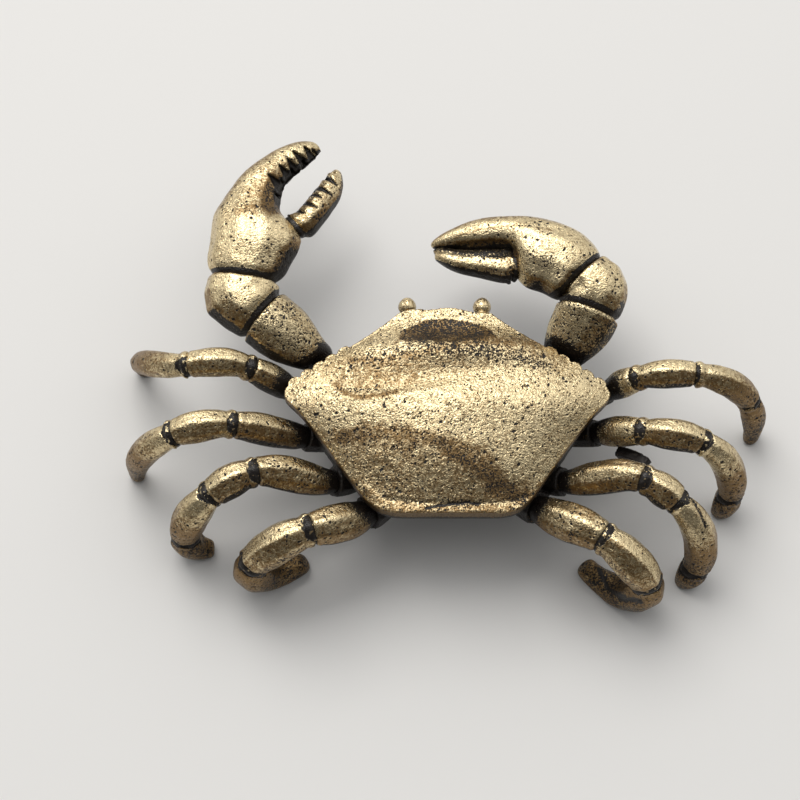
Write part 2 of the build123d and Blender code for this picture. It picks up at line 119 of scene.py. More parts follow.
def relax(mesh, points, rounds):
    # evens out the facets by Blender's own smoothing, then gives the lost bulk back
    def smoothed(values):
        copy = mesh.copy()
        copy.vertices.foreach_set("co", values.ravel())
        holder = bpy.data.objects.new("relaxed", copy)
        scene.collection.objects.link(holder)
        smooth = holder.modifiers.new("relax", "SMOOTH")
        smooth.factor = 0.5
        smooth.iterations = rounds
        view = bpy.context.evaluated_depsgraph_get()
        result = readPoints(holder.evaluated_get(view).data)
        bpy.data.objects.remove(holder)
        bpy.data.meshes.remove(copy)
        return result

    slack = smoothed(points)
    return slack + smoothed(points - slack)


def hollows(points, normals, edges, rounds):
    # millimetres that the surface lies below its own surroundings, less than zero on ridges
    return np.sum((blur(points, edges, rounds) - points) * normals, axis=1)


def ramp(values, low, high):
    t = np.clip((values - low) / (high - low), 0, 1)
    return t * t * (3 - 2 * t)


def bump(values, middle, reach):
    return np.exp(-((values - middle) / reach) ** 2)


hashPrimes = np.array([73856093, 19349663, 83492791], np.uint32)
hashMix = np.uint32(1274126177)
hashHalf = 2 ** 31


def grain(points, size, seed):
    # smooth random field from -1 to 1
    p = points / size + seed * 17.31
    cell = np.floor(p).astype(np.int64)
    f = p - cell
    f = f * f * (3 - 2 * f)
    total = np.zeros(len(points))
    for corner in range(8):
        step = np.array([corner & 1, corner >> 1 & 1, corner >> 2 & 1])
        c = (cell + step).astype(np.uint32) * hashPrimes
        h = c[:, 0] ^ c[:, 1] ^ c[:, 2]
        h = (h ^ (h >> np.uint32(13))) * hashMix
        h = h ^ (h >> np.uint32(16))
        total += np.prod(np.where(step, f, 1 - f), axis=1) * (h.astype(float) / hashHalf - 1)
    return total


def waves(points, seed, sizes):
    # grain of several sizes, each with its own height
    return sum(height * grain(points, size, seed + k) for k, (size, height) in enumerate(sizes))


def blob(points, x, y, rx, ry, turn=0.0, soft=0.4):
    # soft ellipse seen from above: 1 inside, 0 outside
    c, s = math.cos(math.radians(turn)), math.sin(math.radians(turn))
    dx, dy = points[:, 0] - x, points[:, 1] - y
    u, v = (dx * c + dy * s) / rx, (dy * c - dx * s) / ry
    return 1 - ramp(np.sqrt(u * u + v * v), 1 - soft, 1 + soft)


def lineGap(points, stops):
    # distance seen from above to a run of straight stretches
    gap = np.full(len(points), 1e9)
    p = points[:, :2]
    for start, end in zip(stops[:-1], stops[1:]):
        a, d = np.array(start, float), np.array(end, float) - np.array(start, float)
        t = np.clip(((p - a) @ d) / (d @ d), 0, 1)
        gap = np.minimum(gap, np.linalg.norm(p - a - t[:, None] * d, axis=1))
    return gap


def wedge(points, foot, tip, width):
    # triangle seen from above, as wide as given at its foot and pointed at its tip
    a, d = np.array(foot, float), np.array(tip, float) - np.array(foot, float)
    length = np.linalg.norm(d)
    along = (points[:, :2] - a) @ d / length
    across = np.abs((points[:, 1] - a[1]) * d[0] - (points[:, 0] - a[0]) * d[1]) / length
    half = width / 2 * np.clip(1 - along / length, 0, 1.2)
    inside = 1 - ramp(across - half, -0.05, 0.08)
    pastFoot = ramp(along, -0.25 * length, -0.1 * length)
    return inside * pastFoot * (along < length)


def lineHeight(x, stops):
    # y of a run of stops at each x
    xs, ys = zip(*stops)
    return np.interp(x, xs, ys)


# nearness of one CAD solid to another, for seams and the dirt in them

trees = {}
boxes = {}
for nodeName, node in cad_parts.items():
    bm = bmesh.new()
    bm.from_mesh(node.data)
    bmesh.ops.scale(bm, vec=(1 / mm,) * 3, verts=bm.verts)
    trees[nodeName] = BVHTree.FromBMesh(bm)
    boxes[nodeName] = [np.array(corner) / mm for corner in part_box(nodeName)]
    bm.free()


seamReach = 1.6              # millimetres over which a seam is felt


def gapTo(points, others, reach=seamReach):
    # distance to the nearest of the other solids, at most the reach
    gap = np.full(len(points), reach)
    for other in others:
        low, high = boxes[other]
        near = np.all((points > low - reach) & (points < high + reach), axis=1)
        find = trees[other].find_nearest
        for k in np.flatnonzero(near):
            hit = find(Vector(points[k]), reach)
            if hit[0] is not None and hit[3] < gap[k]:
                gap[k] = hit[3]
    return gap


def pockmark(points, normals, density, look, seed):
    # black casting pits: dimples at random places, more of them where density is high
    rng = random.Random(seed)
    weight = np.cumsum(np.clip(density, 0, None))
    mask = np.zeros(len(points))
    if weight[-1] <= 0:
        return mask, points
    tree = KDTree(len(points))
    for k, p in enumerate(points):
        tree.insert(p, k)
    tree.balance()
    pitCount = int(weight[-1] * look["voxel"] ** 2 * look["pitsPerMm2"])
    for _ in range(pitCount):
        centre = min(int(np.searchsorted(weight, rng.random() * weight[-1])), len(points) - 1)
        # most pits are small and round, a few are larger or drawn out
        radius = look["pitRadius"] * (0.6 + 0.9 * rng.random() ** 3)
        long = 1 + 0.9 * rng.random() ** 2
        turn = rng.random() * math.pi
        axis = np.array([math.cos(turn), math.sin(turn), 0])
        for _, k, gap in tree.find_range(points[centre], radius * long):
            along = abs(float((points[k] - points[centre]) @ axis))
            gap = math.hypot(along / long, math.sqrt(max(gap * gap - along * along, 0)))
            if gap < radius:
                mask[k] = max(mask[k], min(1.0, 1.7 * (1 - (gap / radius) ** 2)))
    return mask, points - normals * (mask * look["pitDepth"])[:, None]


def finishPiece(nodeName, mesh, points, fields, material):
    points[:, 2] = np.maximum(points[:, 2], 0)   # nothing reaches below the table
    mesh.vertices.foreach_set("co", (points * mm).ravel())
    for fieldName, values in fields.items():
        attribute = mesh.attributes.new(fieldName, "FLOAT", "POINT")
        attribute.data.foreach_set("value", np.clip(values, 0, 1).astype(np.float32))
    mesh.update()
    mesh.polygons.foreach_set("use_smooth", [True] * len(mesh.polygons))
    piece = bpy.data.objects.new(nodeName + "_cast", mesh)
    mesh.name = piece.name
    scene.collection.objects.link(piece)
    mesh.materials.clear()
    mesh.materials.append(material)
    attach(piece, "root")
    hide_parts(nodeName)


# materials

agedLook = {
    # noises: millimetres across, detail and distortion
    "wide": (3.0, 3, 0.0),
    "medium": (0.75, 3, 0.0),
    "streaky": (0.26, 2, 1.2),
    "blotchy": (0.36, 3, 0.6),
    "fine": (0.12, 2, 0.0),
    "speckRoom": 0.44,           # radius of the largest speck, in specks' spacings
    "gritBlack": 0.11,           # black added where the grit gathers
    "blackFrom": 0.42,           # patina and painted shade at which the black starts
    "blackTo": 0.62,
    "roughness": 0.22,           # of polished brass
    "dullRoughness": 0.14,       # added where it is dull
    "blackRoughness": 0.03,
    "blackMetal": 0.25,          # metallic share left under the black
}


def agedBrassGroup(look):
    # polished brass over a dark pitted casting. The piece's own attributes say where: black (patina and
    # painted shade), duller brown (dull metal, painted shade and painted brown reflection), pits in the
    # mesh and tiny specks.
    group = bpy.data.node_groups.new("agedBrass", "ShaderNodeTree")
    for name, kind, value in (
        ("Bright", "Color", (0.70, 0.60, 0.40, 1)),
        ("Mid", "Color", (0.36, 0.25, 0.13, 1)),
        ("Dark", "Color", (0.014, 0.010, 0.008, 1)),
        ("Speck Size", "Float", 0.30),
        ("Mottle", "Float", 0.5),
    ):
        socket = group.interface.new_socket(name, in_out="INPUT", socket_type="NodeSocket" + kind)
        socket.default_value = value
    for name in ("Color", "Metallic", "Roughness", "Height"):
        kind = "Color" if name == "Color" else "Float"
        group.interface.new_socket(name, in_out="OUTPUT", socket_type="NodeSocket" + kind)
    nodes, links = group.nodes, group.links
    start = nodes.new("NodeGroupInput")
    end = nodes.new("NodeGroupOutput")

    def feed(value, slot):
        if isinstance(value, (int, float)):
            slot.default_value = value
        else:
            links.new(value, slot)

    def calc(operation, a, b=0.0):
        node = nodes.new("ShaderNodeMath")
        node.operation = operation
        feed(a, node.inputs[0])
        feed(b, node.inputs[1])
        return node.outputs[0]

    def add(*values):
        total = values[0]
        for value in values[1:]:
            total = calc("ADD", total, value)
        return total

    def around(value, amount):
        return calc("MULTIPLY", calc("SUBTRACT", value, 0.5), amount)

    def smooth(value, low, high, toLow=0.0, toHigh=1.0):
        node = nodes.new("ShaderNodeMapRange")
        node.interpolation_type = "SMOOTHSTEP"
        feed(value, node.inputs["Value"])
        limits = {"From Min": low, "From Max": high, "To Min": toLow, "To Max": toHigh}
        for name, limit in limits.items():
            feed(limit, node.inputs[name])
        return node.outputs["Result"]

    def field(name):
        node = nodes.new("ShaderNodeAttribute")
        node.attribute_name = name
        return node.outputs["Fac"]

    def mix(amount, a, b):
        node = nodes.new("ShaderNodeMix")
        node.data_type = "RGBA"
        links.new(amount, node.inputs["Factor"])
        links.new(a, node.inputs[6])
        links.new(b, node.inputs[7])
        return node.outputs[2]

    place = nodes.new("ShaderNodeTexCoord")
    scale = nodes.new("ShaderNodeMapping")
    scale.inputs["Scale"].default_value = (1 / mm,) * 3
    links.new(place.outputs["Object"], scale.inputs["Vector"])

    def noise(name):
        size, detail, bend = look[name]
        node = nodes.new("ShaderNodeTexNoise")
        node.inputs["Scale"].default_value = 1 / size
        node.inputs["Detail"].default_value = detail
        node.inputs["Roughness"].default_value = 0.6
        node.inputs["Distortion"].default_value = bend
        links.new(scale.outputs["Vector"], node.inputs["Vector"])
        return node.outputs["Fac"]

    wide = noise("wide")
    medium = noise("medium")
    streaky = noise("streaky")
    blotchy = noise("blotchy")
    fine = noise("fine")

    cells = nodes.new("ShaderNodeTexVoronoi")
    links.new(scale.outputs["Vector"], cells.inputs["Vector"])
    links.new(calc("DIVIDE", 1.0, start.outputs["Speck Size"]), cells.inputs["Scale"])
    own = nodes.new("ShaderNodeSeparateColor")
    links.new(cells.outputs["Color"], own.inputs["Color"])
    # a speck in each cell, of its own size, and larger where the grit gathers
    room = calc("MULTIPLY", calc("POWER", own.outputs["Red"], 1.5), look["speckRoom"])
    gathered = calc("MULTIPLY", field("grit"), smooth(medium, 0.3, 0.6, 0.45, 1.0))
    room = calc("MULTIPLY", room, gathered)
    specks = smooth(calc("SUBTRACT", room, cells.outputs["Distance"]), -0.06, 0.07)

    black = add(field("patina"), around(streaky, 0.95), around(fine, 1.9), around(medium, 0.5))
    black = add(black, calc("MULTIPLY", field("grit"), look["gritBlack"]))
    black = smooth(black, look["blackFrom"], look["blackTo"])
    black = calc("MAXIMUM", black, smooth(field("pit"), 0.2, 0.55))
    black = calc("MAXIMUM", black, specks)

    mottle = calc("MULTIPLY", start.outputs["Mottle"], smooth(blotchy, 0.44, 0.56))
    dull = add(field("tan"), mottle, around(wide, 0.4), around(fine, 1.9), around(streaky, 0.8))
    dull = smooth(dull, 0.0, 1.0)

    color = mix(dull, start.outputs["Bright"], start.outputs["Mid"])
    links.new(mix(black, color, start.outputs["Dark"]), end.inputs["Color"])
    links.new(smooth(black, 0.0, 1.0, 1.0, look["blackMetal"]), end.inputs["Metallic"])
    rough = add(
        look["roughness"],
        around(medium, 0.08),
        calc("MULTIPLY", dull, look["dullRoughness"]),
        calc("MULTIPLY", black, look["blackRoughness"]),
    )
    links.new(rough, end.inputs["Roughness"])
    height = add(
        calc("MULTIPLY", streaky, 0.8),
        calc("MULTIPLY", fine, 0.65),
        calc("MULTIPLY", black, -0.8),
    )
    links.new(height, end.inputs["Height"])
    return group


agedBrass = agedBrassGroup(agedLook)


def brassMaterial(name, look):
    material = bpy.data.materials.new(name)
    material.use_nodes = True
    nodes, links = material.node_tree.nodes, material.node_tree.links
    shader = nodes["Principled BSDF"]
    aged = nodes.new("ShaderNodeGroup")
    aged.node_tree = agedBrass
    for socketName, key in (("Bright", "bright"), ("Mid", "mid"), ("Dark", "dark")):
        aged.inputs[socketName].default_value = (*look[key], 1)
    aged.inputs["Speck Size"].default_value = look["speckSize"]
    aged.inputs["Mottle"].default_value = look["mottle"]
    bumpNode = nodes.new("ShaderNodeBump")
    bumpNode.inputs["Strength"].default_value = look["bumpStrength"]
    bumpNode.inputs["Distance"].default_value = look["bumpDepth"] * mm
    links.new(aged.outputs["Color"], shader.inputs["Base Color"])
    for socketName in ("Metallic", "Roughness"):
        links.new(aged.outputs[socketName], shader.inputs[socketName])
    links.new(aged.outputs["Height"], bumpNode.inputs["Height"])
    links.new(bumpNode.outputs["Normal"], shader.inputs["Normal"])
    return material


brassLook = {
    "bright": (0.77, 0.63, 0.38),
    "mid": (0.25, 0.16, 0.072),      # where it is dulled: dull metal, painted shade and painted brown reflection
    "dark": (0.012, 0.009, 0.007),   # where it is blackened: patina and painted shade
    "speckSize": 0.22,               # millimetres between specks
    "mottle": 0.34,                  # strength of the dull blotches
    "bumpStrength": 1.0,
    "bumpDepth": 0.075,              # millimetres
}
shellBrass = brassMaterial("shellBrass", brassLook)
clawBrass = brassMaterial("clawBrass", {**brassLook, "speckSize": 0.29, "bumpDepth": 0.055})
legBrass = brassMaterial("legBrass", {**brassLook, "speckSize": 0.25, "bumpDepth": 0.06})
# a darker copy of the brass for the underside: unpolished casting and painted shade under the shell
rawBrass = brassMaterial("rawBrass", {**brassLook, "bright": (0.34, 0.27, 0.16), "mottle": 0.8})
print("materials made")


# shell

shellLook = {
    "voxel": 0.082,
    "soften": 2,
    "pitsPerMm2": 3.4,
    "pitRadius": 0.066,
    "pitDepth": 0.04,
    "marginRounds": 9,       # smoothing that tells the margin's knobs from its notches
    "toothSharpen": 2.4,     # brings out the knobs of the margin
    "valleyDepth": 0.17,
    "browRise": 0.10,        # ridge in front of the valley
    "lipRise": 0.07,         # raised rear lip
    "lipGroove": 0.07,
    "fileStep": 0.19,        # spacing of the file marks on the lip
    "fileRise": 0.015,
    "knollRise": 0.10,       # small lumps at the left of the rear slope
    "crackDepth": 0.09,
    "unevenness": ((2.4, 0.05, 1), (0.9, 0.022, 2), (0.35, 0.010, 4)),   # size, height and seed
    # how strongly each area is dulled and blackened: all evenly, the crack and lip groove by dirt, the
    # rest by painted shade
    "tan": {
        "all": 0.10, "scoop": 0.9, "valley": 0.20, "slope": 0.32, "rearShade": 0.7,
        "browEdge": 0.5, "wall": 0.7, "valleyEnd": 0.14, "leftValley": 0.7,
    },
    "patina": {
        "scoop": 0.48, "slope": 0.12, "rearShade": 0.28, "crack": 1.1, "groove": 0.20,
        "leftValley": 0.15,
    },
}

# runs of the relief, seen from above
shellHalf = 9.3              # half the width that the valley spans
valleyLine = [
    (-9, -2.2), (-7.06, -2.3), (-5.01, -2.53), (-2.62, -2.25), (0.12, -1.5), (3.55, -1.05), (9, -0.7),
]
slopeLine = [
    (-9, -4.6), (-7.37, -5.45), (-3.3, -6.36), (0.08, -6.85), (3.45, -8.1), (5.45, -9.48), (9, -12),
]
scoopTopLine = [
    (-3.6, 1.0), (-3.15, 2.0), (-1.57, 2.8), (-0.05, 2.98), (1.55, 2.72), (2.95, 2.1), (3.5, 1.0),
]
rearShadeLine = [(-7.4, -5.6), (-5.0, -5.5), (-2.6, -5.7), (-0.4, -6.4), (2.4, -7.7), (4.6, -9.3)]
leftValleyLine = [(-7.6, -1.9), (-7.2, -2.6), (-6.4, -3.0), (-5.0, -3.0), (-3.6, -2.75)]
rearLipLine = [
    (-5.6, -9.2), (-4.4, -10.3), (-3.3, -10.66), (0.7, -10.75), (4.6, -10.6), (5.5, -10.0), (6.3, -8.9),
]
lipGrooveLine = [(-4.3, -9.9), (-1.9, -10.2), (0.8, -10.27), (3.5, -10.2), (5.3, -9.7)]
crackLine = [
    (-1.5, -10.62), (-0.9, -10.45), (-0.3, -10.40), (0.2, -10.28), (0.7, -10.30), (1.2, -10.15),
    (2.0, -10.32),
]
# heights across the valley by the distance from its floor: brow in front, plateau behind
valleySection = {-1.1: 0, -0.7: 0.25, 0: -1, 0.35: -0.85, 1.9: 0.4, 2.9: 0}


def sculptShell(look):
    mesh = evenSolid("shell", look["voxel"])
    edges = readEdges(mesh)
    points = soften(readPoints(mesh), edges, look["soften"])
    normals = outward(mesh, points)
    top = ramp(normals[:, 2], 0.35, 0.75)
    hollow = hollows(points, normals, edges, look["marginRounds"])
    margin = ramp(points[:, 1], -4, -3) * ramp(0.85 - normals[:, 2], 0, 0.3)
    points = points - normals * (look["toothSharpen"] * hollow * margin)[:, None]
    x, y = points[:, 0], points[:, 1]

    # relief
    fromValley = y - lineHeight(x, valleyLine)
    leftHand = 0.6 + 0.4 * ramp(-x, -4, 4)       # the valley is deeper on the left
    relief = np.interp(fromValley, list(valleySection.keys()), list(valleySection.values()))
    withinSides = ramp(shellHalf - np.abs(x), 0, 1.5)
    move = look["valleyDepth"] * leftHand * np.where(relief < 0, relief, 0)
    move += look["browRise"] * np.where(relief > 0, relief, 0)
    move *= withinSides
    lip = bump(lineGap(points, rearLipLine), 0, 0.30)
    groove = bump(lineGap(points, lipGrooveLine), 0, 0.16)
    knolls = blob(points, -4.9, -7.9, 1.5, 0.9, 25, 0.6) * np.maximum(grain(points, 0.55, 3), 0)
    marks = np.sin(x / look["fileStep"] * 2 * math.pi + 2 * grain(points, 0.5, 5)) * lip
    marks *= ramp(5.2 - np.abs(x), 0, 1.6)
    crack = 1 - ramp(lineGap(points, crackLine), 0.03, 0.11)
    move += (
        look["lipRise"] * lip - look["lipGroove"] * groove + look["knollRise"] * knolls
        + look["fileRise"] * marks - look["crackDepth"] * crack
    )
    move = blur(move * top, edges, 2)
    move += sum(height * grain(points, size, seed) for size, height, seed in look["unevenness"]) * top
    points = points + np.array([0, 0, 1]) * move[:, None]
    normals = outward(mesh, points)
    up = normals[:, 2]

    # areas that get painted shade on the relief
    ragged = waves(points, 14, ((0.5, 0.35), (0.22, 0.2)))
    scoop = ramp(lineHeight(x, scoopTopLine) - y, -0.05, 0.08) * ramp(y + ragged, 0.6, 1.5)
    scoop *= ramp(3.7 - np.abs(x + 0.05) + ragged, 0, 0.9)
    rearShade = bump(lineGap(points, rearShadeLine), 0, 0.9 + 0.5 * ramp(x, -2, 3))
    rearShade = ramp(0.5 * grain(points, 1.4, 16) + 1.2 * rearShade, 0.3, 1.15)
    leftValley = bump(lineGap(points, leftValleyLine), 0, 0.2)
    browEdge = bump(fromValley, 2.1, 0.45) * ramp(8.6 - np.abs(x), 0, 2)
    slope = ramp(lineHeight(x, slopeLine) - y, -0.5, 0.9)
    valley = ramp(fromValley, -0.1, 0.15) * ramp(2.3 - fromValley, 0, 0.9) * withinSides
    brow = bump(y - 0.35 + 0.02 * x * x, 0, 0.75) * ramp(8.0 - np.abs(x), 0, 2)
    wall = ramp(0.72 - up, 0, 0.3)
    low = boxes["shell"][0][2]

    valleyEnd = blob(points, -4.2, -1.6, 2.6, 0.9, 0, 0.6)
    areas = {
        "all": np.ones(len(points)), "scoop": scoop, "valley": valley, "slope": slope,
        "rearShade": rearShade, "browEdge": browEdge, "wall": wall, "valleyEnd": valleyEnd,
        "leftValley": leftValley, "crack": crack, "groove": groove,
    }
    tan = sum(share * areas[name] for name, share in look["tan"].items())
    tan = np.where(lip > 0.5, np.maximum(tan, 0.6), tan)
    patina = sum(share * areas[name] for name, share in look["patina"].items())
    patina += brow * (0.24 + 0.12 * ramp(x, -2, 1))
    # painted shade along the valley's floor on the left
    patina += 0.30 * bump(fromValley, 0.02, 0.12) * ramp(-x, 2, 5)
    patina += 1.1 * ramp(hollow, 0.016, 0.04) * margin      # dirt between the knobs
    # darker downward faces, and painted shade on the side wall, deeper towards the table
    patina += 1.2 * ramp(-up, 0.0, 0.4) + 0.5 * wall * ramp(points[:, 2] - low, 0.9, 0.4)
    grit = 0.8 + 0.5 * brow + 0.2 * slope - 0.25 * valley
    density = top * (0.4 + 0.6 * ramp(grain(points, 1.6, 8), -0.4, 0.6))
    density *= 0.8 + 2.2 * brow - 0.5 * scoop - 0.4 * valley
    pits, points = pockmark(points, normals, density, look, 11)
    fields = {"patina": patina, "pit": pits, "tan": tan, "grit": grit}
    finishPiece("shell", mesh, points, fields, shellBrass)


sculptShell(shellLook)
print("shell sculpted")


# eyes

eyeLook = {
    "voxel": 0.06,
    "soften": 4,
    "pitsPerMm2": 4,
    "pitRadius": 0.05,
    "pitDepth": 0.02,
    "swell": 0.14,
    "stalkSwell": 0.42,      # thickens the stalk behind the eye
    "stalkFrom": 1.3,        # it is full this far behind the eye's front, and gone at the next
    "stalkTo": 0.8,
    "socket": (-0.42, -1.05),    # painted shade beside the stalk, placed from the eye's front
}


def sculptEye(nodeName, look):
    mesh = evenSolid(nodeName, look["voxel"])
    edges = readEdges(mesh)
    points = soften(readPoints(mesh), edges, look["soften"])
    normals = outward(mesh, points)
    low, high = boxes[nodeName]
    stalk = 1 - ramp(points[:, 1], high[1] - look["stalkFrom"], high[1] - look["stalkTo"])
    swell = look["swell"] + look["stalkSwell"] * stalk + 0.03 * grain(points, 0.35, 9)
    points = points + normals * swell[:, None]
    across = points[:, 0] - (low[0] + high[0]) / 2
    along = points[:, 1] - high[1]
    socket = bump(np.hypot(across - look["socket"][0], along - look["socket"][1]), 0, 0.2)
    # painted shade at the socket, and darker downward faces
    patina = 0.8 * socket + ramp(-normals[:, 2], 0.1, 0.6)
    pits, points = pockmark(points, normals, ramp(normals[:, 2], 0, 0.5), look, 12)
    fields = {"patina": patina, "pit": pits, "tan": 0.15 + 0 * patina, "grit": 0.4 + 0 * patina}
    finishPiece(nodeName, mesh, points, fields, clawBrass)


for nodeName in ("left_eye", "right_eye"):
    sculptEye(nodeName, eyeLook)
print("eyes sculpted")


# claws

clawLook = {
    "voxel": 0.075,
    "soften": 14,
    "roundOff": {"arm": 160, "wrist": 160, "palm": 220, "finger": 50},
    "pitsPerMm2": 2.2,
    "pitRadius": 0.068,
    "pitDepth": 0.045,
    "seamDark": 0.36,        # how far the dark runs from a seam
    "neckSwell": 0.16,       # fills the waist at the start of a piece
    "lipRise": 0.06,         # rounded lip at the end of a piece
    "notchDepth": 0.35,
    "recessDepth": 0.25,
    "cornerFill": 0.3,       # closes the corner between the right palm, wrist and arm
    "corner": (7.75, 5.1),
    "hingeSwell": 0.26,      # brings the right finger up to its palm
    "slitSwell": 0.22,       # closes the right claw's fingers below their edges
    "unevenness": ((2.0, 0.05), (0.7, 0.02)),   # size and height
    # flanks that get painted shade, and edges that get a painted brown reflection
    "darkWay": (0.45, -0.89, 0),
    "raisedDarkWay": (-0.5, -0.89, 0),   # of the left arm and wrist
    "raisedLess": 0.14,                  # less of their flanks gets painted shade
    "dullWay": (-0.45, 0.89, 0),
    "armDullWay": (0.8, 0.6, 0),
}
clawOrder = ("arm", "wrist", "palm", "finger")
# notches of the left palm's biting edge, from the foot at the inner wall to the tip on top
palmNotches = [
    ((-9.50, 15.20), (-10.15, 16.00)),
    ((-10.10, 14.75), (-10.90, 15.50)),
    ((-10.75, 14.15), (-11.30, 14.90)),
    ((-11.20, 13.60), (-11.88, 14.33)),
    ((-11.80, 12.75), (-12.62, 13.52)),
]
# cross bars of the left finger, from its inner edge
fingerBars = [
    ((-8.55, 13.65), (-7.70, 12.90)),
    ((-9.20, 12.80), (-8.05, 12.10)),
    ((-9.65, 12.30), (-8.75, 11.80)),
    ((-10.30, 11.70), (-9.05, 10.95)),
    ((-10.80, 11.15), (-9.95, 10.60)),
]
notchWidth = 0.66
barWidth = 0.42
# the left palm's biting wall, the top of the right palm's recess and the fold above it
innerWallLine = [
    (-8.93, 15.71), (-9.31, 15.18), (-9.98, 14.72), (-10.43, 14.32), (-11.09, 13.6), (-11.57, 12.89),
    (-11.83, 12.33), (-11.82, 11.63), (-11.27, 11.14),
]
recessTopLine = [
    (-0.4, 8.1), (-0.15, 8.38), (0.96, 8.65), (2.96, 8.7), (4.11, 8.55), (4.71, 7.96), (5.0, 7.3),
]
foldLine = [(0.5, 9.0), (2.2, 9.35), (3.7, 9.45), (5.4, 9.35), (7.2, 9.0)]


def sculptClaw(side, part, look):
    nodeName = f"{side}_claw_{part}"
    order = clawOrder.index(part)
    before = [f"{side}_claw_{clawOrder[order - 1]}"] if order else ["thorax", "shell"]
    after = [f"{side}_claw_{clawOrder[order + 1]}"] if part != "finger" else []
    raised = side == "left" and part in ("arm", "wrist")
    mesh = evenSolid(nodeName, look["voxel"])
    edges = readEdges(mesh)
    points = soften(readPoints(mesh), edges, look["soften"])
    # the biting edge of the open claw keeps its teeth
    bite = ramp(1.5 - lineGap(points, innerWallLine), 0, 0.7) if side == "left" else 0 * points[:, 0]
    points = points + (1 - bite)[:, None] * (relax(mesh, points, look["roundOff"][part]) - points)
    normals = outward(mesh, points)
    toBefore = gapTo(points, before)
    toAfter = gapTo(points, after)
    seed = order * 7 + (3 if side == "left" else 40)
    move = waves(points, seed, look["unevenness"])
    if side == "right" and part in ("palm", "wrist"):
        cornerX, cornerY = look["corner"]
        fromCorner = np.hypot(points[:, 0] - cornerX, points[:, 1] - cornerY)
        move += look["cornerFill"] * bump(fromCorner, 0, 0.7)
    if after:
        move += look["lipRise"] * bump(toAfter, 0.40, 0.22)
    if order:
        move += look["neckSwell"] * (1 - ramp(toBefore, 0.15, 0.5))
    points = points + normals * move[:, None]
    normals = outward(mesh, points)
    up = normals[:, 2]
    # painted shade on flanks turned towards the viewer, painted brown reflection on flanks turned away
    shade = normals @ np.array(look["raisedDarkWay"] if raised else look["darkWay"])
    reflectionFacing = normals @ np.array(look["dullWay"])

    wider, fade = (0.1, 0.9) if part == "arm" else (0, 0.12)
    seam = look["seamDark"] * (0.4 if (side, part) == ("right", "finger") else 1) + wider
    patina = 1.1 * (1 - ramp(toBefore, seam, seam + fade))
    patina += 1.0 * (1 - ramp(toAfter, 0.10, 0.2))
    if (side, part) == ("right", "arm"):
        patina += 0.3 * ramp(shade, 0.5, 0.9)
    else:
        less = look["raisedLess"] if raised else 0
        patina += 1.0 * ramp(shade, 0.62 + less, 0.84 + less)
        patina += ramp(0.12 - up, 0.0, 0.3) * ramp(0.3 - reflectionFacing, 0, 0.3)
    patina += 1.1 * ramp(-up, 0.25, 0.55)
    tan = 0.7 * ramp(shade, 0.25, 0.6) + 0.55 * ramp(reflectionFacing, 0.45, 0.8)
    grit = 0.6 + 0.6 * ramp(shade, 0.1, 0.5) + 0.2 * ramp(grain(points, 1.3, seed + 2), 0, 0.6)
    density = ramp(up, 0.1, 0.6) * (0.35 + 0.9 * ramp(grain(points, 1.1, 21), 0.0, 0.7))
    work = {"patina": patina, "tan": tan, "grit": grit, "density": density, "sink": 0 * patina}
    if (side, part) in clawExtras:
        clawExtras[side, part](points, normals, work, look)
    if part == "arm":
        work["density"] *= 3.2
        work["grit"] += 0.7
        # painted shade on the arm's flank that faces the given way
        work["tan"] += 0.35 * ramp(normals @ np.array(look["armDullWay"]), 0.2, 0.6) - 0.1
        work["patina"] += 0.22
    sink = blur(work["sink"], edges, 1) * ramp(up, -0.1, 0.2)
    points = points - np.array([0, 0, 1]) * sink[:, None]
    normals = outward(mesh, points)
    pits, points = pockmark(points, normals, work["density"], look, seed)
    fields = {"patina": work["patina"], "pit": pits, "tan": work["tan"], "grit": work["grit"]}
    finishPiece(nodeName, mesh, points, fields, clawBrass)


# each of these adds what one piece alone has to the work on it

def dressLeftPalm(points, normals, work, look):
    fromWall = lineGap(points, innerWallLine)
    # painted shade along the biting wall, in the throat, in the carved notches and on a few patches, some
    # of which also get extra pits
    wallBand = 1 - ramp(fromWall + 0.1 * grain(points, 0.3, 22), 0.18, 0.42)
    throat = blob(points, -12.0, 11.9, 0.95, 1.6, -12, 0.35)
    notches = sum(wedge(points, foot, tip, notchWidth) for foot, tip in palmNotches)
    work["sink"] += look["notchDepth"] * np.clip(notches, 0, 1)
    work["patina"] += 1.2 * np.clip(notches, 0, 1) + 0.95 * wallBand + 0.38 * throat
    work["tan"] += throat
    band = blob(points, -13.4, 10.5, 1.9, 0.5, 6, 0.6)
    corner = blob(points, -10.9, 6.9, 1.9, 0.85, 55, 0.5)
    work["density"] += 2.2 * band + 2.6 * corner
    work["patina"] += 0.42 * corner + 0.12 * band
    work["tan"] += 0.35 * band + 0.6 * corner + 0.45 * blob(points, -12.9, 12.6, 0.8, 2.4, -30, 0.7)


def dressLeftFinger(points, normals, work, look):
    # the bars are carved and get painted shade, as does the flank turned to +x
    bars = np.clip(sum(wedge(points, foot, tip, barWidth) for foot, tip in fingerBars), 0, 1)
    work["sink"] += 0.7 * look["notchDepth"] * bars
    work["patina"] += 1.2 * bars + 0.5 * ramp(normals[:, 0], 0.75, 0.95)
    work["tan"] += 0.2


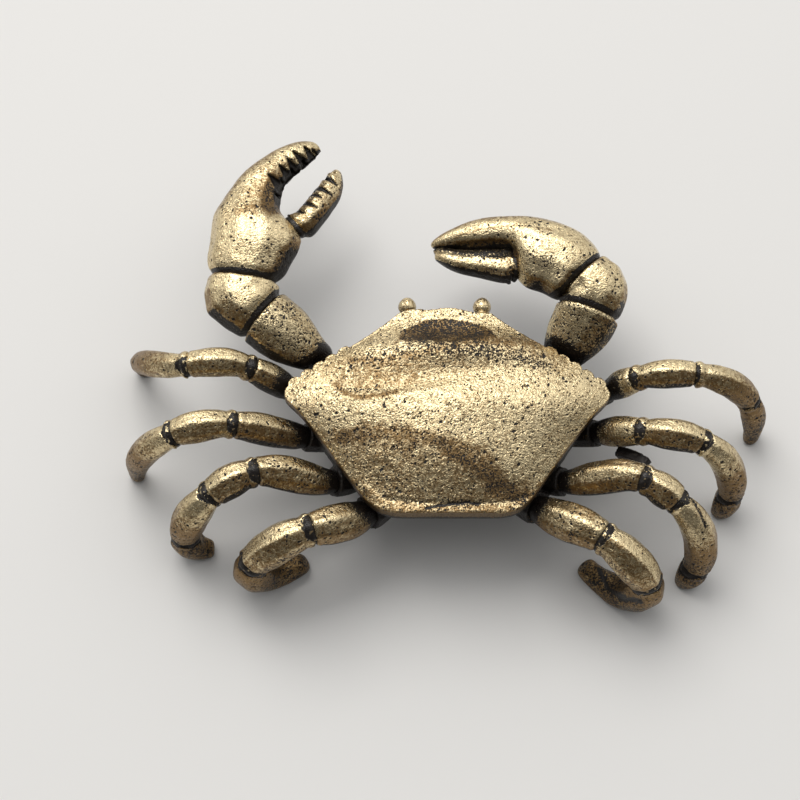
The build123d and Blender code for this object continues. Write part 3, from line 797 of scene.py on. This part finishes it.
def dressRightPalm(points, normals, work, look):
    x, y = points[:, 0], points[:, 1]
    # the recess is sunk and gets painted shade, the flank turned to -y a black painted shade, the fold a
    # brown one, the corner painted shade over extra pits
    recess = ramp(lineHeight(x, recessTopLine) - y, -0.05, 0.1) * ramp(5.0 - x, 0, 0.12)
    recess *= ramp(y + 0.45 * (x - 5.2), 6.0, 6.2) * ramp(y, 6.4, 6.7)
    work["sink"] += look["recessDepth"] * recess
    work["patina"] = work["patina"] * (1 - 0.55 * recess) + 0.36 * recess
    work["tan"] += recess
    work["patina"] += 1.1 * ramp(-normals[:, 1], 0.78, 0.93)
    work["tan"] += 0.5 * bump(lineGap(points, foldLine), 0, 0.12)
    corner = blob(points, 6.6, 6.6, 1.6, 0.7, -25, 0.6)
    work["patina"] += 0.25 * corner
    work["density"] += 1.5 * corner
    work["grit"] += 0.5 * corner


def dressRightFinger(points, normals, work, look):
    inner = ramp(normals[:, 1], 0.35, 0.6)
    top = boxes["right_claw_finger"][1][2]
    points += normals * (look["slitSwell"] * inner * ramp(top - points[:, 2], 0.3, 0.8))[:, None]
    hinge = ramp(normals[:, 0], 0.2, 0.7) * ramp(points[:, 0], 3.8, 4.4)
    points += normals * (look["hingeSwell"] * hinge)[:, None]
    # painted shade on the side towards the slit and on the flank turned to -y
    work["patina"] += 0.62 * inner + 0.2 * ramp(-normals[:, 1], 0.2, 0.5) + ramp(-normals[:, 1], 0.6, 0.76)
    work["tan"] += 0.1


clawExtras = {
    ("left", "palm"): dressLeftPalm,
    ("left", "finger"): dressLeftFinger,
    ("right", "palm"): dressRightPalm,
    ("right", "finger"): dressRightFinger,
}
for side in ("left", "right"):
    for part in clawOrder:
        sculptClaw(side, part, clawLook)
    print(side, "claw sculpted")


# legs

legLook = {
    "voxel": 0.075,
    "soften": 5,
    "roundOff": 110,
    "pitsPerMm2": 3.0,
    "pitRadius": 0.065,
    "pitDepth": 0.035,
    "neckSwell": 0.22,       # fills the waist at the start of a piece
    "collar": 0.68,          # length of the dark oval recess behind a seam
    "collarSink": 0.10,
    "collarMiddle": -0.18,   # where the oval sits across the piece, and how far it reaches
    "collarReach": 0.78,
    "lipRise": 0.04,
    "creaseSink": 0.09,
    "unevenness": ((1.3, 0.035), (0.5, 0.015)),   # size and height
    "shinBlack": 0.35,       # painted shade of a shin's near flank, where the other pieces have 1
    # painted brown shade of a shin's near flank, where the other pieces have 1
    "shinTan": 0.75,
}
legOrder = ("thigh", "wrist", "shin", "toe")
# toes that are thicker towards their curled end, by millimetres
curledToes = {"left_leg_3_toe": 0.08, "left_leg_4_toe": 0.14, "right_leg_4_toe": 0.13}
# shins with a painted brown reflection towards their toe
brownReflectionShins = ("left_leg_3_shin", "right_leg_1_shin", "right_leg_2_shin", "right_leg_3_shin")
# folds of single pieces, seen from above, sunk and darkened with painted shade
creases = {
    "right_leg_3_shin": [(15.88, -9.04), (16.73, -10.3), (17.43, -11.69)],
    "right_leg_4_toe": [(10.65, -13.5), (11.24, -14.91), (12.26, -15.96), (13.22, -16.31)],
}
narrowSeams = {"right_leg_1_shin": 0.3}      # share of the usual collar


def crossAxes(points, toBefore, toAfter):
    # the way that a leg piece runs, and the way that its front flank faces
    start = points[toBefore < toBefore.min() + 0.25].mean(axis=0)
    if toAfter.min() < 1:
        end = points[toAfter < toAfter.min() + 0.25].mean(axis=0)
    else:
        end = points[np.argmax(np.linalg.norm(points - start, axis=1))]
    axis = (end - start) / np.linalg.norm(end - start)
    front = np.array([0.0, 1.0, 0.0])
    front -= axis * (front @ axis)
    front /= np.linalg.norm(front)
    return axis, front


def sculptLeg(side, number, look):
    leg = f"{side}_leg_{number}_"
    parts = [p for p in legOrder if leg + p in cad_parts]
    for order, part in enumerate(parts):
        nodeName = leg + part
        before = [leg + parts[order - 1]] if order else ["thorax", "shell"]
        after = [leg + parts[order + 1]] if order + 1 < len(parts) else []
        mesh = evenSolid(nodeName, look["voxel"])
        edges = readEdges(mesh)
        points = soften(readPoints(mesh), edges, look["soften"])
        points = relax(mesh, points, look["roundOff"])
        normals = outward(mesh, points)
        toBefore = gapTo(points, before)
        toAfter = gapTo(points, after)
        axis, front = crossAxes(points, toBefore, toAfter)
        if nodeName in creases:
            fold = bump(lineGap(points, creases[nodeName]), 0, 0.14)
            points = points - look["creaseSink"] * normals * fold[:, None]
        facing = normals @ front
        seed = 100 + number * 13 + order * 3 + (0 if side == "left" else 60)
        rng = random.Random(seed)
        move = waves(points, seed, look["unevenness"])
        if after:
            move += look["lipRise"] * bump(toAfter, 0.30, 0.18)
        recess = 0 * move
        if order:
            move += look["neckSwell"] * (1 - ramp(toBefore, 0.25, 0.7))
            # an oval of its own size, rough at its rim
            offMiddle = (facing - look["collarMiddle"]) / look["collarReach"]
            oval = np.sqrt(np.clip(1 - offMiddle ** 2, 0, 1))
            reach = look["collar"] * narrowSeams.get(nodeName, rng.uniform(0.8, 1.25)) * oval
            reach += 0.06 * grain(points, 0.22, seed + 5) * oval
            recess = 1 - ramp(toBefore, reach, reach + 0.1)
            move -= look["collarSink"] * recess * ramp(toBefore, -0.1, 0.15)
        fromSeam = np.linalg.norm(points - points[np.argmin(toBefore)], axis=1)
        move += curledToes.get(nodeName, 0) * ramp(fromSeam, 0.8, 2.6)
        move *= ramp(points[:, 2], 0.1, 0.4)
        points = points + normals * move[:, None]
        normals = outward(mesh, points)
        up, facing = normals[:, 2], normals @ front
        height = points[:, 2]

        # a piece lying flat gets painted shade on its near flank, and one that stands gets none
        lying = ramp(0.85 - abs(axis[2]), 0, 0.3)
        shadeLevel = lying * (look["shinBlack"] if part == "shin" else 1)
        shadeTanLevel = lying * (look["shinTan"] if part == "shin" else 1)
        outer = fromSeam / fromSeam.max()
        if part == "toe":
            outer = ramp(outer, 0, 0.5)
        else:
            outer = ramp(outer, 0.2, 0.9) * (nodeName in brownReflectionShins)
        # painted shade along the fold
        crease = bump(lineGap(points, creases[nodeName]), 0, 0.12) if nodeName in creases else 0
        patina = recess * (1.0 - 0.75 * ramp(grain(points, 0.17, seed + 6), 0.3, 0.55))
        if not order:
            patina += 1.1 * (1 - ramp(toBefore, 0.3, 1.5))
        patina += 0.9 * (1 - ramp(toAfter, 0.05, 0.14)) * (1 - ramp(facing, 0.5, 0.75))
        # painted shade on the near flank of a flat-lying piece, and darker downward faces
        patina += 0.75 * shadeLevel * ramp(-facing, 0.90, 0.97) + ramp(-up, 0.1, 0.5)
        # darker and browner near the table and towards the ends of toes and the listed shins: painted
        # reflection of the table
        patina += 0.24 * ramp(5.4 - height, 0.0, 3.2) + 0.12 * outer + 0.7 * crease
        # painted brown shade on the near flank, and a painted brown reflection along the far flank
        tan = 0.7 * shadeTanLevel * ramp(-facing, 0.12, 0.40) + 0.5 * shadeLevel * bump(facing, 0.72, 0.09)
        # painted brown reflection of the table, near it and towards the ends
        tan += 1.1 * ramp(6.6 - height, 0.0, 3.0) + 0.7 * outer + 0.6 * crease
        flank = shadeLevel * bump(-facing, 0.55, 0.28)
        grit = 0.6 + 0.6 * flank + 0.7 * ramp(5.0 - height, 0, 3)
        density = ramp(up, -0.1, 0.4) * (0.3 + ramp(grain(points, 0.8, seed + 2), -0.2, 0.6))
        atHip = 1.5 if order == 0 else 0
        density *= 0.6 + 1.8 * flank + 1.8 * ramp(6 - height, 0, 3) + 1.5 * outer + atHip
        pits, points = pockmark(points, normals, density, look, seed)
        fields = {"patina": patina, "pit": pits, "tan": tan, "grit": grit}
        finishPiece(nodeName, mesh, points, fields, legBrass)


for side in ("left", "right"):
    for number in range(1, 5):
        sculptLeg(side, number, legLook)
    print(side, "legs sculpted")


# raw casting underneath, dark partly as unpolished metal and partly as painted shade: thorax, bridge,
# belly flap and mouth plates

rawLook = {
    "voxel": 0.10,
    "soften": 2,
    "pitsPerMm2": 1.2,
    "pitRadius": 0.10,
    "pitDepth": 0.04,
    "unevenness": ((0.8, 0.03), (0.35, 0.015)),   # size and height
    "patina": 0.92,
    "worn": 0.35,            # less black where it is worn
}
rawSlots = {
    "thorax": "underside_brass",
    "belly_flap": "underside_brass",
    "left_mouth_plate": "underside_brass",
    "right_mouth_plate": "underside_brass",
    "leg_bridge": "leg_brass",
}


def sculptRaw(nodeName, look):
    mesh = evenSolid(nodeName, look["voxel"])
    edges = readEdges(mesh)
    points = soften(readPoints(mesh), edges, look["soften"])
    normals = outward(mesh, points)
    move = waves(points, 31, look["unevenness"])
    points = points + normals * move[:, None]
    normals = outward(mesh, points)
    patina = look["patina"] - look["worn"] * ramp(grain(points, 0.6, 33), 0.25, 0.8)
    pits, points = pockmark(points, normals, np.ones(len(points)), look, 34)
    fields = {"patina": patina, "pit": pits, "tan": 0.8 + 0 * patina, "grit": 0.8 + 0 * patina}
    finishPiece(nodeName, mesh, points, fields, rawBrass)


for nodeName, slotName in rawSlots.items():
    sculptRaw(nodeName, rawLook)
print("raw casting sculpted")


# table, lights and camera

tableLook = {
    "size": 4.0,             # metres
    "color": (0.80, 0.79, 0.77, 1),
    "roughness": 0.9,
}


def makeTable(look):
    bm = bmesh.new()
    bmesh.ops.create_grid(bm, x_segments=1, y_segments=1, size=look["size"] / 2)
    mesh = bpy.data.meshes.new("table")
    bm.to_mesh(mesh)
    bm.free()
    table = bpy.data.objects.new("table", mesh)
    scene.collection.objects.link(table)
    material = bpy.data.materials.new("palePaper")
    material.use_nodes = True
    shader = material.node_tree.nodes["Principled BSDF"]
    shader.inputs["Base Color"].default_value = look["color"]
    shader.inputs["Roughness"].default_value = look["roughness"]
    mesh.materials.append(material)


lampLook = {
    # place and size in metres, power in watts
    "keyLamp": {"place": (-0.10, 0.24, 0.34), "size": 0.26, "power": 0.9, "color": (1.0, 0.98, 0.95)},
}


def makeLamps(lamps):
    for lampName, look in lamps.items():
        data = bpy.data.lights.new(lampName, "AREA")
        data.shape = "SQUARE"
        data.size = look["size"]
        data.energy = look["power"]
        data.color = look["color"]
        lamp = bpy.data.objects.new(lampName, data)
        lamp.location = look["place"]
        lamp.rotation_euler = (-Vector(look["place"])).to_track_quat("-Z", "Y").to_euler()
        scene.collection.objects.link(lamp)


worldLook = {
    # where along an axis the light starts and is full, and its share there
    "depth": {"From Min": -0.28, "From Max": 0.32, "To Min": 0.16, "To Max": 1.2},
    "height": {"From Min": 0.05, "From Max": 0.50, "To Min": 0.35, "To Max": 1.0},
}


def makeWorld(look):
    # a big soft light over the far side of the table, dim towards the viewer
    world = bpy.data.worlds.new("studio")
    world.use_nodes = True
    scene.world = world
    nodes, links = world.node_tree.nodes, world.node_tree.links
    place = nodes.new("ShaderNodeTexCoord")
    split = nodes.new("ShaderNodeSeparateXYZ")
    links.new(place.outputs["Generated"], split.inputs["Vector"])
    strength = nodes.new("ShaderNodeMath")
    strength.operation = "MULTIPLY"
    for factor, (key, axis) in enumerate((("depth", "Y"), ("height", "Z"))):
        fade = nodes.new("ShaderNodeMapRange")
        fade.interpolation_type = "SMOOTHSTEP"
        for socketName, value in look[key].items():
            fade.inputs[socketName].default_value = value
        links.new(split.outputs[axis], fade.inputs["Value"])
        links.new(fade.outputs["Result"], strength.inputs[factor])
    links.new(strength.outputs[0], nodes["Background"].inputs["Strength"])
    nodes["Background"].inputs["Color"].default_value = (1, 1, 1, 1)


cameraLook = {
    "target": (-3.303, -2.242, 5.0),     # millimetres
    "distance": 155.0,
    "elevation": 75.0,                   # degrees above the table
    "lens": 100.0,
    "sensor": 36.0,
    "nearest": 5.0,                      # millimetres, nothing nearer is drawn
}


def makeCamera(look):
    data = bpy.data.cameras.new("camera")
    data.lens = look["lens"]
    data.sensor_width = look["sensor"]
    data.clip_start = look["nearest"] * mm
    camera = bpy.data.objects.new("camera", data)
    tilt = math.radians(look["elevation"])
    away = Vector((0, -math.cos(tilt), math.sin(tilt))) * look["distance"]
    camera.location = (Vector(look["target"]) + away) * mm
    camera.rotation_euler = (math.radians(90) - tilt, 0, 0)
    scene.collection.objects.link(camera)
    scene.camera = camera


makeTable(tableLook)
makeLamps(lampLook)
makeWorld(worldLook)
makeCamera(cameraLook)
scene.view_settings.view_transform = "Standard"

print("scene ready")
